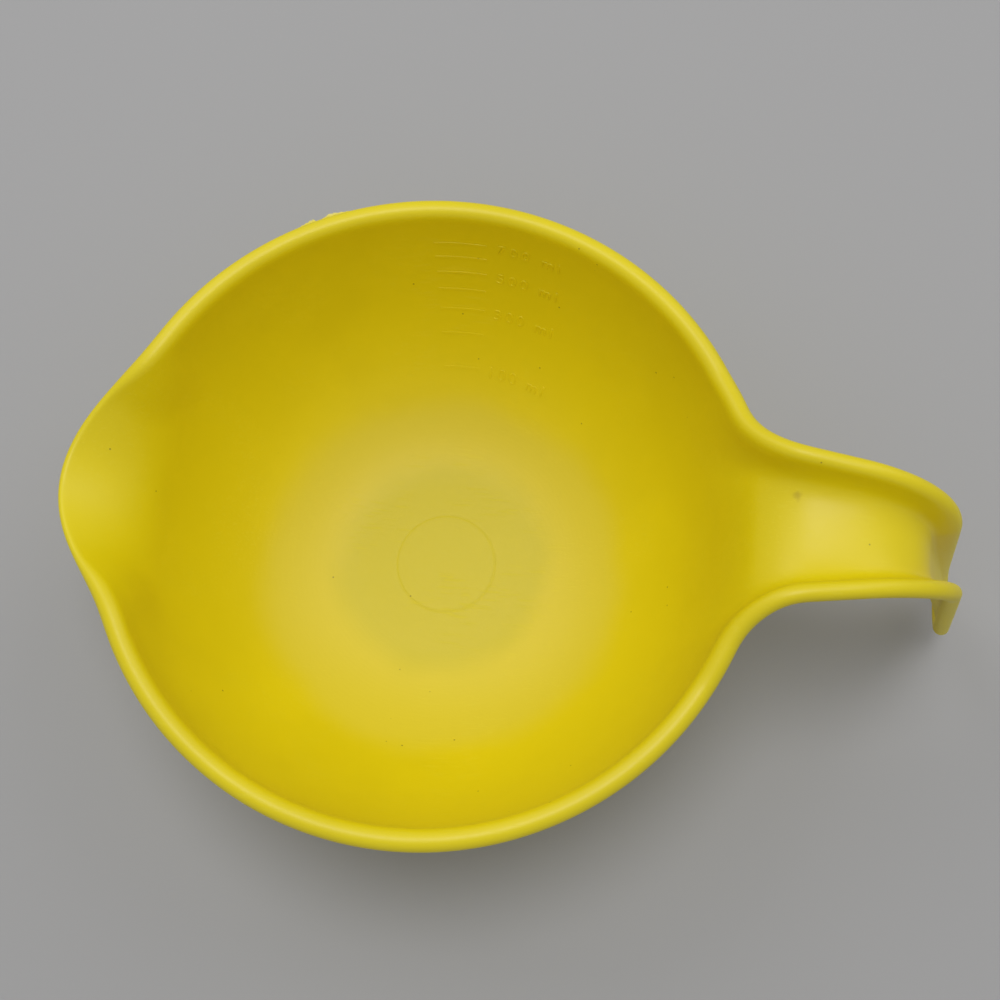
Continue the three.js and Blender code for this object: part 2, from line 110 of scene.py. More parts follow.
# %% [markdown]
# ## The floor and the lower wall
#
# A turned shape can be spun from a drawn profile, or grown ring by ring from a circle. Growing rings is
# chosen, because the upper rings have to leave the circle later for the spout and the handle, and each
# point then already knows its column. COLUMNS is picked so that 8 columns to each side of the handle's
# axis span the arm, and 18 the stretch of rim that flows into it.
#
# Each ring is the open edge extruded once, then scaled and lifted. A fine circle in the floor, left by the
# mould, is three rings close together with the middle one sunk a little.

# %% Helpers for growing rings
COLUMNS = 220
ARM_COLUMNS = 8
ROOT_COLUMNS = 18
# A face counts as level, not upright, when the Z of its normal is beyond this.
LEVEL = 0.5
column_step = 2 * math.pi / COLUMNS
mouth_angle = ARM_COLUMNS * column_step
handle_angle = ROOT_COLUMNS * column_step


def smooth(t):
    t = min(max(t, 0.0), 1.0)
    return t * t * (3 - 2 * t)


def mix(a, b, share):
    return a + (b - a) * share


def around(angle, radius, height):
    return Vector((radius * math.cos(angle), radius * math.sin(angle), height))


def inner_profile(turn):
    """Radius and height of the inner wall, from the floor's edge at 0 to the rim at a quarter turn."""
    return FLOOR_RADIUS + wall_span * math.sin(turn), FLOOR + DEPTH * (1 - math.cos(turn))


def only_selected(obj):
    bpy.ops.object.select_all(action="DESELECT")
    obj.select_set(True)
    bpy.context.view_layer.objects.active = obj


def chosen_points():
    mesh = bmesh.from_edit_mesh(shell.data)
    return mesh, [v for v in mesh.verts if v.select]


def select_where(test, by="verts"):
    """Selects what the test picks, by points, edges or faces, and nothing else."""
    bpy.ops.mesh.select_all(action="DESELECT")
    mesh = bmesh.from_edit_mesh(shell.data)
    for item in getattr(mesh, by):
        if test(item):
            item.select_set(True)
    bmesh.update_edit_mesh(shell.data)


# %% Start the skin as a small disc on the floor
FIRST_RING = 5 * MM

bpy.ops.object.select_all(action="DESELECT")
bpy.ops.mesh.primitive_circle_add(
    vertices=COLUMNS, radius=FIRST_RING, fill_type="TRIFAN", location=(0, 0, FLOOR)
)
shell = bpy.context.object
shell.name = "bowl_moulding"
bpy.ops.object.transform_apply(location=True, rotation=True, scale=True)
bpy.ops.object.mode_set(mode="EDIT")
bpy.ops.mesh.select_mode(type="EDGE")

mesh = bmesh.from_edit_mesh(shell.data)
column_layer = mesh.verts.layers.int.new("column")
row_layer = mesh.verts.layers.int.new("row")
for v in mesh.verts:
    if v.co.xy.length > FIRST_RING / 2:
        v[column_layer] = round(math.atan2(v.co.y, v.co.x) / column_step)
bmesh.update_edit_mesh(shell.data)
bpy.ops.mesh.select_all(action="DESELECT")
bpy.ops.mesh.select_non_manifold(
    use_wire=False, use_boundary=True, use_multi_face=False, use_non_contiguous=False, use_verts=False
)

# %% Grow the floor, the mould circle and the lower wall
CIRCLE_RADIUS = 14.5 * MM
CIRCLE_WIDTH = 0.28 * MM
CIRCLE_SINK = 0.12 * MM
CIRCLE_REACH = 3 * CIRCLE_WIDTH
INNER_RING = 9 * MM
OUTER_RING = 19 * MM
# At this turn of the section the outer skin is BASE_RADIUS from the axis.
FOOT_TURN = 0.1855
FOOT_ROWS = 3
WALL_ROWS = 12

floor_rings = [
    (INNER_RING, FLOOR),
    (CIRCLE_RADIUS - CIRCLE_REACH, FLOOR),
    (CIRCLE_RADIUS - CIRCLE_WIDTH, FLOOR),
    (CIRCLE_RADIUS, FLOOR - CIRCLE_SINK),
    (CIRCLE_RADIUS + CIRCLE_WIDTH, FLOOR),
    (CIRCLE_RADIUS + CIRCLE_REACH, FLOOR),
    (OUTER_RING, FLOOR),
    (FLOOR_RADIUS, FLOOR),
]
foot_rings = [inner_profile(FOOT_TURN * (i + 1) / FOOT_ROWS) for i in range(FOOT_ROWS)]
wall_rings = [
    inner_profile(mix(FOOT_TURN, flare_turn, (i + 1) / WALL_ROWS)) for i in range(WALL_ROWS)
]
foot_row = len(floor_rings) + FOOT_ROWS
row = 0
ring = (FIRST_RING, FLOOR)


def tag_row():
    mesh, points = chosen_points()
    layer = mesh.verts.layers.int["row"]
    for v in points:
        v[layer] = row
    bmesh.update_edit_mesh(shell.data)


for radius, height in floor_rings + foot_rings + wall_rings:
    bpy.ops.mesh.extrude_region_move(
        TRANSFORM_OT_translate={"value": (0, 0, height - ring[1])}
    )
    growth = radius / ring[0]
    bpy.ops.transform.resize(value=(growth, growth, 1), center_override=(0, 0, height))
    ring = (radius, height)
    row += 1
    tag_row()
flare_row = row
print("rows up to the flare:", flare_row, "at", round(ring[1] / MM, 1), "mm")

# %% [markdown]
# ## The rim line
#
# The middle of the bead draws the bowl's open edge: a circle that sags a little between spout and handle,
# bulges out and dips at the spout, and leaves the circle by a rounded fillet to rise into the handle's
# arm. Each point of it gets a small frame: `along` points on past the wall's end, `out` to its outer side.
# The lean of that frame opens the spout's lip and the channel's sides.

# %% Curves of the rim
fillet_y = ROOT_HALF + ROOT_FILLET * math.cos(HANDLE_TAPER)
fillet_x = math.sqrt((bead_circle + ROOT_FILLET) ** 2 - fillet_y**2)
fillet_angle = math.atan2(fillet_y, fillet_x)
rise_start = bead_circle * math.cos(handle_angle)
arm_start = fillet_x - ROOT_FILLET * math.sin(HANDLE_TAPER)
arm_height = bead_height + HANDLE_RISE
UP = Vector((0, 0, 1))
ACROSS = Vector((0, 1, 0))


def from_handle(angle):
    return math.atan2(math.sin(angle), math.cos(angle))


def spout_hump(angle, power):
    """1 in the middle of the spout, 0 from its ends on. With a lower power it stays high for longer."""
    t = abs(abs(from_handle(angle)) - math.pi) / SPOUT_HALF_ANGLE
    return (1 - t**2) ** power if t < 1 else 0.0


def spout_share(angle):
    """Share of the spout's reach and dip."""
    return spout_hump(angle, REACH_POWER)


def flare_share(angle):
    """Share of the lip's lean."""
    return spout_hump(angle, FLARE_POWER)


def rim_height(angle):
    return bead_height - RIM_SAG * math.sin(angle) ** 2


def root_share(angle):
    """Share of the way from the plain rim to the handle's arm."""
    share = (handle_angle - abs(from_handle(angle))) / (handle_angle - mouth_angle)
    return min(max(share, 0.0), 1.0)


def fillet_point(share):
    """Plan of the edge from the rim circle through the fillet, for a share of its length."""
    lead = bead_circle * (handle_angle - fillet_angle)
    sweep = math.pi / 2 - fillet_angle - HANDLE_TAPER
    length = share * (lead + ROOT_FILLET * sweep)
    if length < lead:
        angle = handle_angle - length / bead_circle
        return bead_circle * math.cos(angle), bead_circle * math.sin(angle)
    angle = math.pi + fillet_angle + (length - lead) / ROOT_FILLET
    return fillet_x + ROOT_FILLET * math.cos(angle), fillet_y + ROOT_FILLET * math.sin(angle)


def bead_centre(angle):
    turn = from_handle(angle)
    if abs(turn) < handle_angle:
        share = root_share(angle)
        x, y = fillet_point(share)
        rim = mix(rim_height(handle_angle), bead_height, smooth(share))
        climb = min(max((x - rise_start) / (arm_start - rise_start), 0.0), 1.0)
        rise = HANDLE_RISE * smooth(climb**RISE_EASE)
        return Vector((x, math.copysign(y, turn), rim + rise))
    share = spout_share(angle)
    outer_edge = RIM_RADIUS + SPOUT_REACH * share
    return around(angle, outer_edge - bead_radius(angle), rim_height(angle) - SPOUT_DIP * share)


def bead_radius(angle):
    rim = mix(BEAD_RADIUS, HANDLE_BEAD, smooth(root_share(angle)))
    return mix(rim, LIP_RADIUS, smooth(LIP_FADE * spout_share(angle)))


# %% Frames along the rim
ANGLE_STEP = 1e-3


def edge_frame(travel, top, lean):
    side = travel.cross(top).normalized()
    crest = side.cross(travel).normalized()
    along = crest * math.cos(lean) + side * math.sin(lean)
    out = side * math.cos(lean) - crest * math.sin(lean)
    return along, out


def bead_foot(radius):
    """Angle below the bead's middle at which the wall's outer face runs into the bead."""
    return math.acos(min(max((WALL - radius) / radius, -1.0), 1.0))


def rim_edge(angle):
    """End of the wall under the bead, its frame, the way the edge runs, and the bead's radius."""
    turn = from_handle(angle)
    low, high = turn - ANGLE_STEP, turn + ANGLE_STEP
    if abs(turn) < handle_angle:
        low = max(low, mouth_angle) if turn > 0 else low
        high = min(high, -mouth_angle) if turn < 0 else high
    travel = (bead_centre(high) - bead_centre(low)).normalized()
    if abs(turn) < mouth_angle + ANGLE_STEP:
        travel = Vector((-math.copysign(1, turn), 0, 0))
    lean = FLANGE_LEAN * smooth(root_share(angle)) + SPOUT_FLARE * flare_share(angle)
    along, out = edge_frame(travel, UP, lean)
    radius = bead_radius(angle)
    edge = bead_centre(angle) - out * radius - along * radius * math.sin(bead_foot(radius))
    return edge, along, out, travel, radius


# %% [markdown]
# ## The handle's line
#
# The handle is an open channel. Its two edges run level, arch over and run down the grip. Seen across,
# the channel has sides that lean outwards and round into a flat floor. Down the grip it flattens out to a
# rounded tip.

# %% Curves of the handle
bend_centre = Vector((arm_start + ARM_LENGTH, 0, arm_height - BEND_RADIUS))
arm_length = ARM_LENGTH + BEND_RADIUS * BEND_ANGLE
handle_length = arm_length + GRIP_LENGTH
tip_loss = 1 - TIP_SHARE**2
grip_half = ROOT_HALF - math.tan(HANDLE_TAPER) * arm_length


def handle_frame(s):
    """Middle between the two edges at the distance s along them, with the ways forward and to the top."""
    turn = min(max((s - ARM_LENGTH) / BEND_RADIUS, 0.0), BEND_ANGLE)
    forward = Vector((math.cos(turn), 0, -math.sin(turn)))
    top = Vector((math.sin(turn), 0, math.cos(turn)))
    if s <= ARM_LENGTH:
        return Vector((arm_start + s, 0, arm_height)), forward, top
    return bend_centre + top * BEND_RADIUS + forward * max(s - arm_length, 0.0), forward, top


def grip_share(s):
    return min(max((s - arm_length) / GRIP_LENGTH, 0.0), 1.0)


def tip_share(s):
    return min(max((s - handle_length + TIP_LENGTH) / TIP_LENGTH, 0.0), 1.0)


def handle_lean(s):
    return mix(FLANGE_LEAN, TIP_LEAN, smooth(grip_share(s)))


def handle_half(s):
    half = ROOT_HALF - math.tan(HANDLE_TAPER) * min(s, arm_length)
    return half * math.sqrt(1 - tip_loss * tip_share(s) ** 2)


def tip_narrowing(s):
    t = tip_share(s)
    return grip_half * tip_loss * t / (TIP_LENGTH * math.sqrt(1 - tip_loss * t * t))


def handle_bead(s):
    return mix(HANDLE_BEAD, TIP_BEAD, smooth(grip_share(s)))


def section_edge(s):
    """End of the channel's side under the bead, across and up in the section's plane."""
    lean = handle_lean(s)
    radius = handle_bead(s)
    foot = radius * math.sin(bead_foot(radius))
    x = handle_half(s) - radius * math.cos(lean) - foot * math.sin(lean)
    return Vector((x, radius * math.sin(lean) - foot * math.cos(lean)))


def bezier(points, t):
    a, b, c, d = points
    u = 1 - t
    return a * u**3 + b * (3 * u * u * t) + c * (3 * u * t * t) + d * t**3


def channel_curve(s):
    edge = section_edge(s)
    lean = handle_lean(s)
    arm_floor = mix(-CHANNEL_DEPTH, -BEND_DEPTH, smooth(s / arm_length))
    floor = mix(arm_floor, section_edge(handle_length).y, grip_share(s))
    drop = SIDE_SHARE * (edge.y - floor)
    side = Vector((edge.x - drop * math.sin(lean), edge.y - drop * math.cos(lean)))
    return edge, side, Vector((FLOOR_SHARE * edge.x, floor)), Vector((0, floor))


def handle_point(s, share):
    """Inner face of the channel, for a share from -1 to 1 across it."""
    p = bezier(channel_curve(s), 1 - abs(share))
    middle, _, top = handle_frame(s)
    return middle + ACROSS * math.copysign(p.x, share) + top * p.y


print("handle:", round(handle_length / MM), "mm along its edges")


# %% [markdown]
# ## The upper wall
#
# From the flare line on, each column follows its own curve. It leaves the bowl's section in line with it,
# and arrives at the rim, the spout's lip or the channel of the arm in line with that. Dragging every point
# by hand would do the same, but curves keep both sides of the bowl alike. The rings are extruded as
# before, and their points then put onto the curves.

# %% Curves of the upper wall
PATH_STEP = 0.05 * MM
SIDE_STEP = 1e-3


def upper_end(angle):
    """Where a column of the upper wall ends, and the way in which it arrives there."""
    turn = from_handle(angle)
    if abs(turn) >= mouth_angle - ANGLE_STEP:
        edge, along, _, travel, _ = rim_edge(angle)
        swing = CORNER_SWING * smooth(root_share(angle))
        return edge, along * math.cos(swing) - travel * (math.copysign(1, turn) * math.sin(swing))
    share = turn / mouth_angle
    point = handle_point(0, share)
    ahead = (handle_point(PATH_STEP, share) - point).normalized()
    to_edge = (handle_point(0, share + math.copysign(SIDE_STEP, share)) - point).normalized()
    swing = CORNER_SWING * share**SWING_POWER
    return point, ahead * math.cos(swing) + to_edge * math.sin(swing)


def upper_curve(angle):
    r, z = inner_profile(flare_turn)
    start = around(angle, r, z)
    climb_out = wall_span * math.cos(flare_turn)
    climb_up = DEPTH * math.sin(flare_turn)
    climb = around(angle, climb_out, climb_up).normalized()
    point, heading = upper_end(angle)
    reach = (point - start).length / 3
    stretch = 1 + LIP_STRETCH * flare_share(angle)
    return start, start + climb * reach, point - heading * (reach * stretch), point


# %% Grow the upper wall
UPPER_ROWS = 10

curves = {}
for step in range(1, UPPER_ROWS + 1):
    bpy.ops.mesh.extrude_region_move()
    row += 1
    tag_row()
    mesh, points = chosen_points()
    layer = mesh.verts.layers.int["column"]
    for v in points:
        column = v[layer]
        if column not in curves:
            curves[column] = upper_curve(column * column_step)
        v.co = bezier(curves[column], step / UPPER_ROWS)
    bmesh.update_edit_mesh(shell.data)
top_row = row
print("columns:", len(curves), "rows up to the rim:", top_row)

# %% Even out the root, where the wall and the channel flow together
ROOT_PASSES = 10
PASS_SHARE = 0.5

mesh = bmesh.from_edit_mesh(shell.data)
column_layer = mesh.verts.layers.int["column"]
row_layer = mesh.verts.layers.int["row"]
select_where(
    lambda v: abs(v[column_layer]) < ROOT_COLUMNS and flare_row < v[row_layer] < top_row
)
bpy.ops.mesh.vertices_smooth(factor=PASS_SHARE, repeat=ROOT_PASSES)
print("root evened out in", ROOT_PASSES, "passes")

# %% [markdown]
# ## The handle
#
# Only the 16 edges at the mouth of the arm are taken further: extruded station by station along the
# handle's line, closer together in the arch and at the tip.

# %% Grow the channel
LEVEL_ROWS = 4
BEND_ROWS = 16
GRIP_ROWS = 12
TIP_ROWS = 6


def steps(start, end, count):
    return [mix(start, end, (i + 1) / count) for i in range(count)]


stations = (
    steps(0, ARM_LENGTH, LEVEL_ROWS)
    + steps(ARM_LENGTH, arm_length, BEND_ROWS)
    + steps(arm_length, handle_length - TIP_LENGTH, GRIP_ROWS)
    + steps(handle_length - TIP_LENGTH, handle_length, TIP_ROWS)
)


def in_mouth(v):
    return v[row_layer] == top_row and abs(v[column_layer]) <= ARM_COLUMNS


select_where(lambda e: all(in_mouth(v) for v in e.verts), by="edges")
for s in stations:
    bpy.ops.mesh.extrude_region_move()
    row += 1
    tag_row()
    mesh, points = chosen_points()
    layer = mesh.verts.layers.int["column"]
    for v in points:
        v.co = handle_point(s, v[layer] / ARM_COLUMNS)
    bmesh.update_edit_mesh(shell.data)
print("stations along the handle:", len(stations))

# %% Even out the channel's floor where wall, level stretch and arch meet
CHANNEL_PASSES = 14
ROWS_BEFORE = 4
ROWS_AFTER = 14

mesh = bmesh.from_edit_mesh(shell.data)
column_layer = mesh.verts.layers.int["column"]
row_layer = mesh.verts.layers.int["row"]
select_where(
    lambda v: abs(v[column_layer]) < ARM_COLUMNS
    and top_row - ROWS_BEFORE < v[row_layer] < top_row + ROWS_AFTER
)
bpy.ops.mesh.vertices_smooth(factor=PASS_SHARE, repeat=CHANNEL_PASSES)
print("channel evened out in", CHANNEL_PASSES, "passes")

# %% [markdown]
# ## Thickness and bead
#
# Solidify could give the wall its thickness, but it ends in a square edge, and the real edge is a round
# bead that stands out to the outer side. So the inner skin is copied, pushed out by the wall's thickness
# and turned over, which makes the outer skin. Then the inner skin's open edge is extruded round the bead,
# step by step, until it meets the outer skin's edge, and the two are merged.

# %% Note each edge point's frame, for the bead
mesh = bmesh.from_edit_mesh(shell.data)
layers = mesh.verts.layers
for name in ("edge", "along", "out"):
    layers.float_vector.new(name)
layers.float.new("bead")
layers.int.new("side")


def grip_edge(s, share):
    """Frame of a point on the handle's open edge, at its sides or round its tip."""
    _, forward, top = handle_frame(s)
    travel = ACROSS.copy()
    if abs(share) == 1:
        travel = forward * -share + ACROSS * tip_narrowing(s)
        if s == stations[-1]:
            travel = travel.normalized() + ACROSS
    return edge_frame(travel, top, handle_lean(s))


def note_frame(v, along, out, radius):
    v[layers.float_vector["edge"]] = v.co
    v[layers.float_vector["along"]] = along
    v[layers.float_vector["out"]] = out
    v[layers.float["bead"]] = radius


open_points = [v for v in mesh.verts if v.is_boundary]
for v in open_points:
    column, height_row = v[layers.int["column"]], v[layers.int["row"]]
    if height_row == top_row:
        _, along, out, _, radius = rim_edge(column * column_step)
        note_frame(v, along, out, radius)
    else:
        s = stations[height_row - top_row - 1]
        note_frame(v, *grip_edge(s, column / ARM_COLUMNS), handle_bead(s))
bmesh.update_edit_mesh(shell.data)
print("points along the open edge:", len(open_points))

# %% Copy the skin outwards
bpy.ops.mesh.select_all(action="SELECT")
bpy.ops.mesh.duplicate()
mesh, points = chosen_points()
side_layer = mesh.verts.layers.int["side"]
for v in points:
    v[side_layer] = 1
bmesh.update_edit_mesh(shell.data)
bpy.ops.transform.shrink_fatten(value=-WALL)
bpy.ops.mesh.flip_normals()

mesh = bmesh.from_edit_mesh(shell.data)
layers = mesh.verts.layers
for v in mesh.verts:
    if v.is_boundary and v[layers.int["side"]] == 1:
        v.co = v[layers.float_vector["edge"]] + v[layers.float_vector["out"]] * WALL
bmesh.update_edit_mesh(shell.data)

# %% Roll the bead from the inner skin's edge to the outer one's
BEAD_STEPS = 9
MERGE = 0.01 * MM

side_layer = bmesh.from_edit_mesh(shell.data).verts.layers.int["side"]
select_where(lambda e: e.is_boundary and all(v[side_layer] == 0 for v in e.verts), by="edges")
for step in range(BEAD_STEPS + 1):
    bpy.ops.mesh.extrude_region_move()
    mesh, points = chosen_points()
    layers = mesh.verts.layers
    for v in points:
        edge, along, out = (Vector(v[layers.float_vector[name]]) for name in ("edge", "along", "out"))
        radius = v[layers.float["bead"]]
        foot = bead_foot(radius)
        centre = edge + out * radius + along * radius * math.sin(foot)
        angle = mix(math.pi, -foot, step / BEAD_STEPS)
        v.co = centre + out * radius * math.cos(angle) + along * radius * math.sin(angle)
    bmesh.update_edit_mesh(shell.data)
bpy.ops.mesh.select_all(action="SELECT")
bpy.ops.mesh.remove_doubles(threshold=MERGE)
mesh = bmesh.from_edit_mesh(shell.data)
print("open edges left:", sum(e.is_boundary for e in mesh.edges), "points:", len(mesh.verts))

# %% [markdown]
# ## The foot
#
# Under the bowl the outer skin becomes a flat standing face: the faces inside the foot's ring are
# extruded, flattened onto the table, and the foot's edge is bevelled. The small dimple in the middle is
# where the plastic entered the mould.

# %% Press the foot flat
GATE_RADIUS = 3 * MM
GATE_DEPTH = 0.5 * MM

side_layer = bmesh.from_edit_mesh(shell.data).verts.layers.int["side"]
row_layer = bmesh.from_edit_mesh(shell.data).verts.layers.int["row"]
bpy.ops.mesh.select_mode(type="FACE")
select_where(
    lambda f: all(v[side_layer] == 1 and v[row_layer] <= foot_row for v in f.verts), by="faces"
)
bpy.ops.mesh.extrude_region_move()
bpy.ops.transform.resize(value=(1, 1, 0), center_override=(0, 0, 0))
bpy.ops.mesh.select_mode(type="EDGE")
select_where(
    lambda e: all(abs(v.co.z) < MERGE for v in e.verts)
    and any(abs(f.normal.z) < LEVEL for f in e.link_faces),
    by="edges",
)
bpy.ops.mesh.bevel(offset=BASE_CHAMFER, segments=2, affect="EDGES")
print("standing face from", round(2 * BASE_RADIUS / MM), "mm across")

# %% Dimple of the gate
bpy.ops.mesh.select_mode(type="FACE")
select_where(
    lambda f: f.normal.z < -LEVEL and all(v.co.xy.length < FIRST_RING + MERGE for v in f.verts),
    by="faces",
)
bpy.ops.mesh.inset(thickness=FIRST_RING - GATE_RADIUS)
bpy.ops.mesh.inset(thickness=GATE_DEPTH / 2)
bpy.ops.transform.translate(value=(0, 0, GATE_DEPTH))
bpy.ops.mesh.select_all(action="SELECT")
bpy.ops.mesh.normals_make_consistent(inside=False)
bpy.ops.object.mode_set(mode="OBJECT")
print("gate dimple", round(2 * GATE_RADIUS / MM), "mm across")

# %% [markdown]
# ## Rounding
#
# The rings are close, but straight between their points. One step of subdivision rounds them, where finer
# rings would only make the steps before it slower.

# %% Round the whole skin
only_selected(shell)
rounding = shell.modifiers.new("rounding", "SUBSURF")
rounding.levels = 1
rounding.render_levels = 1
rounding.use_limit_surface = False
bpy.ops.object.modifier_apply(modifier=rounding.name)
bpy.ops.object.shade_smooth()
print("moulding:", len(shell.data.polygons), "faces")

# %% [markdown]
# ## The measuring scale
#
# Low marks on the far inner wall show each 100 ml. In the mould they are cut into the core, so they stand
# proud of the wall by a few tenths of a millimetre. A bump in the material would be quicker, but it would
# be lost on the mesh, so they are real: bars and figures, drawn flat and then wrapped onto the wall. The
# lower edge of each bar is at the height where the bowl holds that much, found by adding up thin discs of
# the bowl's inside.

# %% Measure the inner wall under the scale
SCALE_ANGLE = math.radians(90.4)
FINE_STEPS = 200
LITRE = 1e-3
MARKS = 7
MARK_ML = 100
MARK_LITRES = MARK_ML / 1000

low_wall = [inner_profile(flare_turn * i / FINE_STEPS) for i in range(FINE_STEPS)]
high_wall = [bezier(upper_curve(SCALE_ANGLE), i / FINE_STEPS) for i in range(FINE_STEPS + 1)]
meridian = low_wall + [(p.xy.length, p.z) for p in high_wall]
radii = [r for r, z in meridian]
heights = [z for r, z in meridian]
arcs = [0.0]
contents = [0.0]
for (r0, z0), (r1, z1) in zip(meridian, meridian[1:]):
    arcs.append(arcs[-1] + math.hypot(r1 - r0, z1 - z0))
    contents.append(contents[-1] + math.pi * ((r0 + r1) / 2) ** 2 * (z1 - z0))


def read_off(wanted, known, values):
    """The value that goes with what is wanted, between two neighbours of a rising list."""
    i = min(max(bisect_left(known, wanted), 1), len(known) - 1)
    share = (wanted - known[i - 1]) / (known[i] - known[i - 1])
    return mix(values[i - 1], values[i], share)


def on_wall(angle, arc, lift):
    """Point at an arc length up the inner wall, lifted off it into the bowl."""
    r, z = read_off(arc, arcs, radii), read_off(arc, arcs, heights)
    out = (read_off(arc + PATH_STEP, arcs, radii) - r) / PATH_STEP
    up = (read_off(arc + PATH_STEP, arcs, heights) - z) / PATH_STEP
    return around(angle, r - lift * up, z + lift * out)


fill_arcs = [read_off(MARK_LITRES * (i + 1) * LITRE, contents, arcs) for i in range(MARKS)]
print("the bowl holds", round(contents[-1] / LITRE, 2), "litres to the rim")

# %% Draw one bar
BAR_LENGTH = 12.6 * MM
BAR_WIDTH = 0.8 * MM
BAR_HALF_ANGLE = math.radians(5.4)
BAR_RELIEF = 0.14 * MM
BAR_CUTS = 11


def cut_across(box, length, cuts):
    """Cuts a box that lies along X into short pieces, and leaves it in edit mode."""
    bpy.ops.object.mode_set(mode="EDIT")
    bpy.ops.mesh.select_mode(type="EDGE")
    bpy.ops.mesh.select_all(action="DESELECT")
    mesh = bmesh.from_edit_mesh(box.data)
    for e in mesh.edges:
        a, b = (v.co for v in e.verts)
        e.select_set(abs(a.x - b.x) > length / 2)
    bpy.ops.mesh.subdivide(number_cuts=cuts)


bpy.ops.object.select_all(action="DESELECT")
bpy.ops.mesh.primitive_cube_add(size=1, scale=(BAR_LENGTH, BAR_WIDTH, 2 * BAR_RELIEF))
bar = bpy.context.object
bpy.ops.object.transform_apply(location=True, rotation=True, scale=True)
cut_across(bar, BAR_LENGTH, BAR_CUTS)
bpy.ops.mesh.select_all(action="DESELECT")
mesh = bmesh.from_edit_mesh(bar.data)
for e in mesh.edges:
    tops = [f.normal.z > LEVEL for f in e.link_faces]
    e.select_set(any(tops) and not all(tops))
bpy.ops.mesh.bevel(offset=BAR_RELIEF / 2, segments=2, affect="EDGES")
bpy.ops.object.mode_set(mode="OBJECT")
print("bar:", len(bar.data.polygons), "faces")

# %% Copy the bar to each mark and wrap it onto the wall
marks = []
for i, arc in enumerate(fill_arcs):
    mark = bar.copy()
    mark.data = bar.data.copy()
    mark.name = f"scale_bar_{i + 1}"
    bpy.context.collection.objects.link(mark)
    for v in mark.data.vertices:
        angle = SCALE_ANGLE - BAR_HALF_ANGLE * v.co.x / (BAR_LENGTH / 2)
        v.co = on_wall(angle, arc + BAR_WIDTH / 2 + v.co.y, v.co.z)
    marks.append(mark)
bpy.data.objects.remove(bar)
print("bars at", [round(read_off(a, arcs, heights) / MM, 1) for a in fill_arcs], "mm")

# %% Figures beside every other bar
FIGURE_EVERY = 2
FIGURE_HEIGHT = 3.6 * MM
FONT_SHARE = 0.7
FIGURE_SPACING = 1.3
FIGURE_START = math.radians(82.9)
FIGURE_RELIEF = 0.2 * MM
FIGURE_ROUNDING = 0.15 * MM

for i in range(0, MARKS, FIGURE_EVERY):
    bpy.ops.object.select_all(action="DESELECT")
    bpy.ops.object.text_add()
    figure = bpy.context.object
    figure.name = f"scale_figure_{i + 1}"
    figure.data.body = f"{MARK_ML * (i + 1)} ml"
    figure.data.size = FIGURE_HEIGHT / FONT_SHARE
    figure.data.space_character = FIGURE_SPACING
    figure.data.extrude = FIGURE_RELIEF - FIGURE_ROUNDING
    figure.data.bevel_depth = FIGURE_ROUNDING
    figure.data.bevel_resolution = 1
    figure.data.offset = -FIGURE_ROUNDING / 2
    figure.data.resolution_u = 4
    bpy.ops.object.convert(target="MESH")
    bpy.ops.object.mode_set(mode="EDIT")
    bpy.ops.mesh.select_all(action="SELECT")
    bpy.ops.mesh.remove_doubles(threshold=MERGE / 10)
    bpy.ops.mesh.normals_make_consistent(inside=False)
    bpy.ops.object.mode_set(mode="OBJECT")
    width = max(v.co.x for v in figure.data.vertices)
    height = max(v.co.y for v in figure.data.vertices)
    radius = read_off(fill_arcs[i], arcs, radii)
    for v in figure.data.vertices:
        angle = FIGURE_START - v.co.x / radius
        v.co = on_wall(angle, fill_arcs[i] + v.co.y - height / 2, v.co.z)
    marks.append(figure)
    print(figure.name, "width", round(width / MM, 1), "height", round(height / MM, 1), "mm")

# %% [markdown]
# ## Torn flash on the rim
#
# Where the two halves of the mould met, a hair of plastic was left standing on the bead's outer edge, and a
# bit of it has broken out. It is two slivers that start thin, widen, and end at the break. They could be
# drawn out of the bead itself, but its rows are too wide for so small a shape. So each starts as a flat
# bar, is cut across into short pieces, and is then wrapped along the rim, tapered and made ragged.

# %% Two slivers of flash
FLASH_REACH = 0.8 * MM
FLASH_THICKNESS = 0.25 * MM
FLASH_THINNING = 0.6
FLASH_SUNK = 0.4 * MM
FLASH_LIFT = 0.4 * MM
FLASH_CUTS = 23
FLASH_GROWTH = 1.5
FLASH_STUB = 0.15
RAG_DEPTH = 0.15
RAG_RATE = 41
# For each sliver the angles of its thin end and its torn end, and the share between them of its peak.
FLASH_SPANS = {"flash_left": (122.5, 117.2, 0.93), "flash_right": (108.5, 116.2, 0.76)}


def flash_share(share, peak):
    """Width of a sliver: grows from its thin end to a peak near the break, then falls away."""
    if share < peak:
        return (share / peak) ** FLASH_GROWTH
    return mix(1, FLASH_STUB, (share - peak) / (1 - peak))


